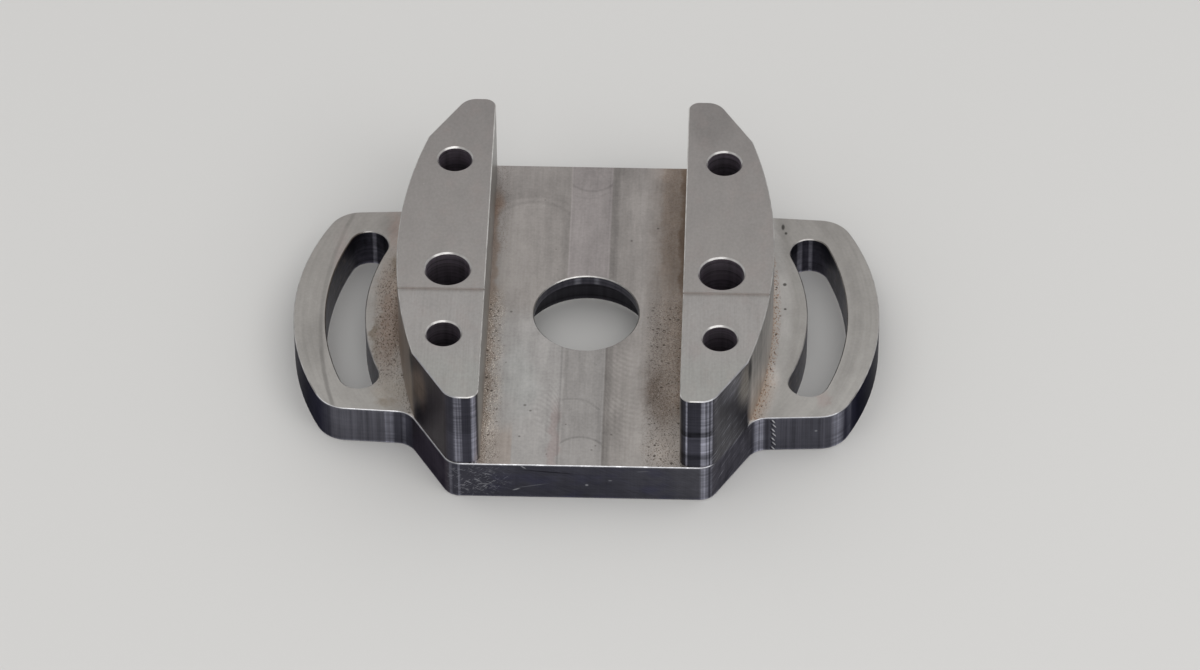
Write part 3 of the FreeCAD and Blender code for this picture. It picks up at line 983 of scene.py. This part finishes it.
def broken_edge():
    """Edge broken with a file: narrow and bright, and nicked here and there, with painted highlights along
    the front edges and painted shade on the lower ones.
    """
    material, put, place = start_material("broken_edge")
    x, y, z = put("SeparateXYZ", (place,)).node.outputs
    side = put("Math", (x,), operation="ABSOLUTE")
    wear_and_glints = mottle(put, place, (3.0, 3.0, 3.0), 1.0, 3.0)
    on_plate = below(put, z, PLATE_TOP + 1.0, 0.5)
    on_wall = above(put, z, WALL_TOP - 1.0, 0.3)
    front_edge_highlight = both(put, below(put, y, -30.0, 8.0), on_plate)
    left_ear = both(put, below(put, y, -30.0, 4.0), above(put, y, -40.0, 1.0), below(put, x, -45.0, 3.0))
    lower_half = both(put, below(put, z, PLATE_TOP - 0.1, 0.05), on_plate)
    in_slot = both(put, near(put, y, 0.0, 31.5, 1.0), near(put, side, SLOT_RADIUS - 2.5, 10.0, 1.0))
    # Painted highlights on the front edges and the left ear's front, with white glints; painted shade on
    # the lower front edges
    colour = stained(
        put,
        linear("#a5a3a1"),
        (both(put, below(put, side, HALF_CHANNEL + 0.5, 0.3), on_wall), "#c9c7c4", 0.8),
        (front_edge_highlight, "#b9b9bb", 0.9),
        (both(put, front_edge_highlight, above(put, wear_and_glints, 0.1, 0.4)), "#e0e0e2", 0.7),
        (both(put, front_edge_highlight, above(put, x, 40.0, 4.0)), "#8f8f92", 0.8),
        (both(put, left_ear, on_plate), "#d4d4d6", 0.8),
        (both(put, below(put, y, -40.0, 2.0), above(put, side, 29.0, 4.0)), "#96969a", 0.8),
        (both(put, lower_half, below(put, y, -30.0, 4.0)), "#45454c", 0.85),
        (in_slot, "#807d7b", 0.8),
    )
    colour = toned(put, colour, raised(put, 0.0, (wear_and_glints, 0.25)))
    finish_metal(put, colour, 0.3, wear_and_glints, 0.02)
    return material


def face_milled_underside():
    """Face-milled aluminium that lay on the machine's table: plain grey with wide faint passes."""
    material, put, place = start_material("face_milled_underside")
    tone = raised(
        put,
        0.0,
        (mottle(put, place, (9.0, 12.0, TALL), 1.0, 3.0), 0.1),
        (feed_marks(put, place, 0.0, 90.0, 2.4, 1.0), 0.07),
        (mottle(put, place, LEVEL_GRAIN, 2.0, 1.0), 0.03),
    )
    finish_metal(put, toned(put, linear("#96928f")[:3], tone), 0.45, tone, 0.01)
    return material


# The bracket's own surface

FINISHES = (
    face_milled_wall_top,
    end_milled_channel_floor,
    end_milled_ear,
    side_milled_plate,
    side_milled_wall,
    bored_wall,
    broken_edge,
    face_milled_underside,
)


def inside_cuts(x, y):
    """Whether each place lies in the seat, a bolt hole, a pin hole or a slot."""
    holes = [(0.0, 0.0, SEAT_RADIUS)]
    for side in (-HOLE_X, HOLE_X):
        holes += [(side, -BOLT_Y, BOLT_RADIUS), (side, BOLT_Y, BOLT_RADIUS), (side, PIN_Y, PIN_RADIUS)]
    inside = np.abs(np.hypot(x, y) - SLOT_RADIUS) < SLOT_HALF_WIDTH + CLEARANCE
    inside &= np.arctan2(np.abs(y), np.abs(x)) < SLOT_HALF_ANGLE
    for hole_x, hole_y, radius in holes:
        inside |= np.hypot(x - hole_x, y - hole_y) < radius + CLEARANCE
    return inside


def cut_faces(mesh):
    """For each face, the number of the finish that the tool that cut it gave."""
    count = len(mesh.polygons)
    normal = np.empty(count * 3, np.float32)
    centre = np.empty(count * 3, np.float32)
    mesh.polygons.foreach_get("normal", normal)
    mesh.polygons.foreach_get("center", centre)
    up = normal.reshape(-1, 3)[:, 2]
    x, y, z = (centre.reshape(-1, 3) * MM).T
    upright = np.abs(up) < UPRIGHT
    level = up > LEVEL
    downwards = up < -LEVEL
    over_plate = z > PLATE_TOP + MARGIN
    on_step = upright & over_plate & (np.abs(y - STEP_Y) < NEARLY)
    cut_through = (upright | downwards) & inside_cuts(x, y)
    in_channel = (np.abs(x) < HALF_CHANNEL + NEARLY) | (np.abs(y) > BACK - MARGIN)
    numbers = np.full(count, FINISHES.index(broken_edge), np.int32)
    for faces, finish in (
        (upright, side_milled_plate),
        (upright & (z > PLATE_TOP), side_milled_wall),
        (on_step, face_milled_wall_top),
        (cut_through, bored_wall),
        (downwards & (z < MARGIN), face_milled_underside),
        (level & over_plate, face_milled_wall_top),
        (level & ~over_plate, end_milled_ear),
        (level & ~over_plate & in_channel, end_milled_channel_floor),
    ):
        numbers[faces] = FINISHES.index(finish)
    return numbers


def milled_surface(name):
    """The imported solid's surface with shared corners, smooth where faces run into each other."""
    mesh = bpy.data.meshes.new(name)
    shape = bmesh.new()
    shape.from_mesh(frame["nodes"]["saddle_bracket"].data)
    bmesh.ops.remove_doubles(shape, verts=shape.verts, dist=MERGE_DISTANCE)
    shape.to_mesh(mesh)
    shape.free()
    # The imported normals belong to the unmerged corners
    mesh.attributes.remove(mesh.attributes["custom_normal"])
    mesh.shade_smooth()
    mesh.set_sharp_from_angle(angle=SHARP_ANGLE)
    mesh.materials.clear()
    for finish in FINISHES:
        mesh.materials.append(finish())
    mesh.polygons.foreach_set("material_index", cut_faces(mesh))
    piece = bpy.data.objects.new(name, mesh)
    bpy.context.scene.collection.objects.link(piece)
    weighted = piece.modifiers.new("flat_faces_keep_their_normal", "WEIGHTED_NORMAL")
    weighted.keep_sharp = True
    return piece


# Floor, lamps and camera


def turned_to(azimuth, elevation, roll=0.0):
    """The turn that makes a camera or a lamp look at the target from those angles, in degrees."""
    turn = Matrix.Rotation(math.radians(azimuth), 4, "Z")
    turn @= Matrix.Rotation(math.radians(90.0 - elevation), 4, "X")
    return turn @ Matrix.Rotation(math.radians(roll), 4, "Z")


def studio_floor():
    """A plain pale floor just under the bracket, clear from its lower side so the underside shows."""
    half = FLOOR_SIZE / 2
    mesh = bpy.data.meshes.new("studio_floor")
    corners = [(-half, -half), (half, -half), (half, half), (-half, half)]
    mesh.from_pydata([(*corner, -FLOOR_GAP) for corner in corners], [], [(0, 1, 2, 3)])
    material, put, _ = start_material("matt_floor_paint")
    paint = put("BsdfPrincipled", {"Base Color": linear(FLOOR_GREY), "Roughness": 0.8})
    lower_side = put("NewGeometry").node.outputs["Backfacing"]
    ray = put("LightPath").node.outputs["Ray Length"]
    clear = either(put, lower_side, put("Math", (ray, TOUCHING), operation="LESS_THAN"))
    put("OutputMaterial", {"Surface": put("MixShader", (clear, paint, put("BsdfTransparent")))})
    mesh.materials.append(material)
    floor = bpy.data.objects.new("studio_floor", mesh)
    bpy.context.scene.collection.objects.link(floor)


def softbox(name, azimuth, elevation):
    """A square lamp that faces the bracket from those angles."""
    data = bpy.data.lights.new(name, "AREA")
    data.size = LAMP_SIZE
    data.energy = LAMP_POWER
    lamp = bpy.data.objects.new(name, data)
    lamp.matrix_world = turned_to(azimuth, elevation) @ Matrix.Translation((0, 0, LAMP_DISTANCE))
    bpy.context.scene.collection.objects.link(lamp)


def soft_surroundings():
    """Even pale light from all round."""
    world = bpy.data.worlds.new("soft_surroundings")
    bpy.context.scene.world = world
    world.use_nodes = True
    world.node_tree.nodes.clear()
    background = add(world.node_tree, "Background", (linear("#ffffff"), WORLD_STRENGTH))
    add(world.node_tree, "OutputWorld", {"Surface": background})


def camera():
    """A long lens from above the front edge."""
    data = bpy.data.cameras.new("camera")
    data.lens = CAMERA_LENS
    seat = bpy.data.objects.new("camera", data)
    aim = Matrix.Translation(CAMERA_TARGET) @ turned_to(CAMERA_AZIMUTH, CAMERA_ELEVATION, CAMERA_ROLL)
    seat.matrix_world = aim @ Matrix.Translation((0, 0, CAMERA_DISTANCE))
    bpy.context.scene.collection.objects.link(seat)
    bpy.context.scene.camera = seat


bracket = milled_surface("milled_bracket")
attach(bracket, "root")
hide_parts("saddle_bracket")

studio_floor()
soft_surroundings()
for lamp_name, lamp_azimuth, lamp_elevation in LAMPS:
    softbox(lamp_name, lamp_azimuth, lamp_elevation)
camera()
bpy.context.scene.view_settings.view_transform = "Standard"
